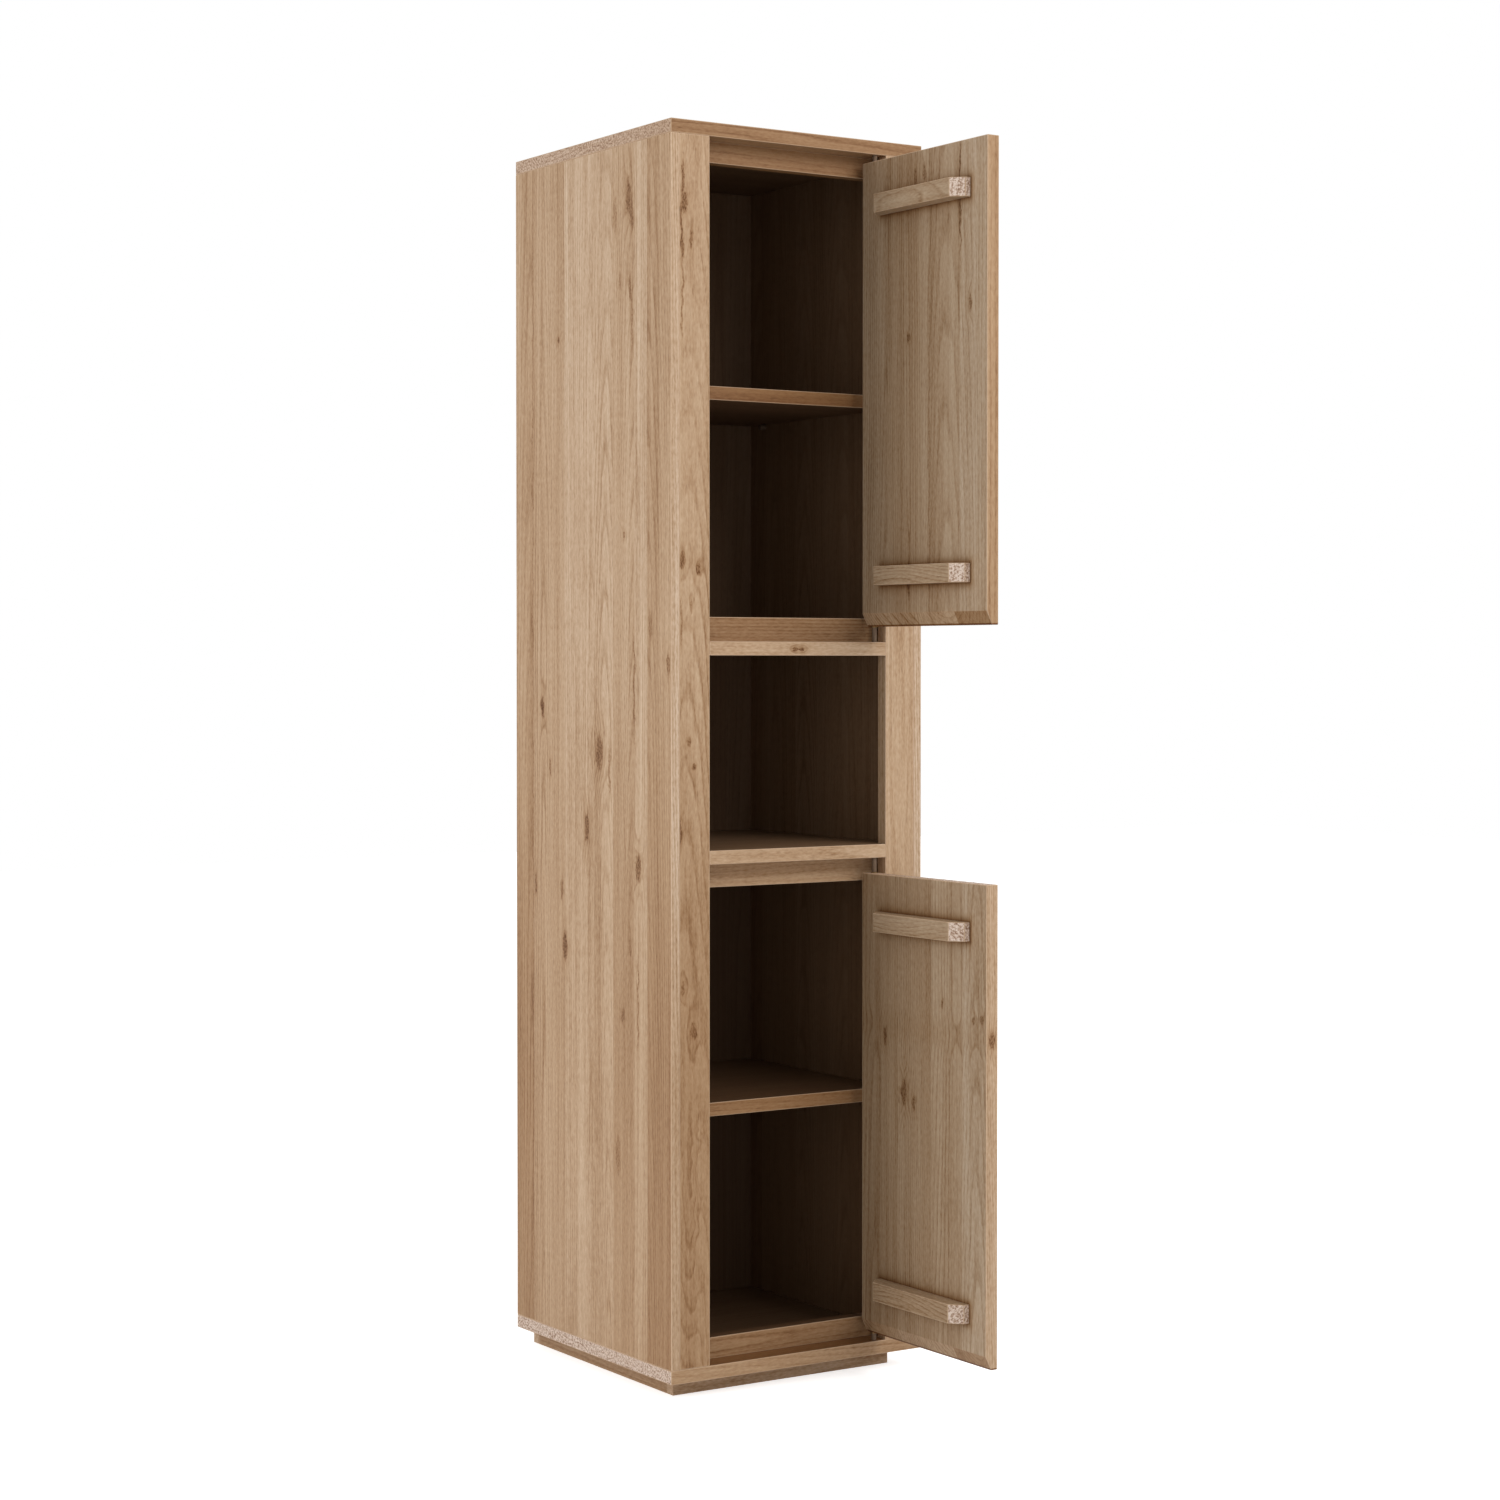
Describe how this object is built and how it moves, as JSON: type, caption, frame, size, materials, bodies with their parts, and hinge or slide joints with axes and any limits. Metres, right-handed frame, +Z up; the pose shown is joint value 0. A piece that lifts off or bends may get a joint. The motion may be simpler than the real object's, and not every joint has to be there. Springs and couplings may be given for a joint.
{
  "type": "pantry cabinet",
  "caption": "Tall narrow solid-oak pantry cabinet on a recessed plinth: upper and lower cupboards with shelves, an open niche between, and battened doors on hidden pivots.",
  "frame": {"origin": "on the floor, under the middle of the case footprint, on the underside of the plinth's bearer", "axes": "+X to the cabinet's right seen from the front, -Y out of the front, +Z up"},
  "size_m": [0.48, 0.81, 2],
  "materials": {
    "oak": "matt oiled solid oak, light brown with visible grain",
    "inner_oak": "matt oiled solid oak of the inner pieces",
    "steel": "bronzed, satin",
    "brass": "plain turned, dull",
    "rubber": "matt, dark brown"
  },
  "bodies": {
    "case": {"bottom_board": "oak", "top_board": "oak", "side_panel_left": "oak", "side_panel_right": "oak", "stile_left": "oak", "stile_right": "oak", "niche_floor_board": "oak", "niche_ceiling_board": "oak", "back_panel": "inner_oak", "back_screw_left_1": "steel", "back_screw_left_2": "steel", "back_screw_left_3": "steel", "back_screw_right_1": "steel", "back_screw_right_2": "steel", "back_screw_right_3": "steel", "plinth_front": "oak", "plinth_back": "oak", "plinth_side_left": "oak", "plinth_side_right": "oak", "plinth_bearer": "oak", "plinth_block_front_left": "oak", "plinth_block_front_right": "oak", "plinth_block_back_left": "oak", "plinth_block_back_right": "oak", "upper_floor_rail": "inner_oak", "upper_ceiling_rail": "inner_oak", "lower_floor_rail": "inner_oak", "lower_ceiling_rail": "inner_oak", "upper_shelf": "inner_oak", "lower_shelf": "inner_oak", "upper_shelf_pin_front_left": "steel", "upper_shelf_pin_front_right": "steel", "upper_shelf_pin_back_left": "steel", "upper_shelf_pin_back_right": "steel", "lower_shelf_pin_front_left": "steel", "lower_shelf_pin_front_right": "steel", "lower_shelf_pin_back_left": "steel", "lower_shelf_pin_back_right": "steel", "upper_stop_block": "inner_oak", "lower_stop_block": "inner_oak", "upper_stop_buffer": "rubber", "lower_stop_buffer": "rubber", "upper_door_top_pivot_pin": "steel", "upper_door_bottom_pivot_pin": "steel", "lower_door_top_pivot_pin": "steel", "lower_door_bottom_pivot_pin": "steel"},
    "upper_door": {"upper_door": "oak", "upper_door_top_batten": "oak", "upper_door_bottom_batten": "oak", "upper_door_top_bush": "brass", "upper_door_bottom_bush": "brass"},
    "lower_door": {"lower_door": "oak", "lower_door_top_batten": "oak", "lower_door_bottom_batten": "oak", "lower_door_top_bush": "brass", "lower_door_bottom_bush": "brass"}
  },
  "joints": [
    {"name": "upper_door_hinge", "type": "hinge", "parent": "case", "child": "upper_door", "pos_m": [0.152, -0.242, 1.59], "axis": [0, 0, 1], "range_deg": [-90, 30]},
    {"name": "lower_door_hinge", "type": "hinge", "parent": "case", "child": "lower_door", "pos_m": [0.152, -0.242, 0.44], "axis": [0, 0, 1], "range_deg": [-90, 30]}
  ]
}
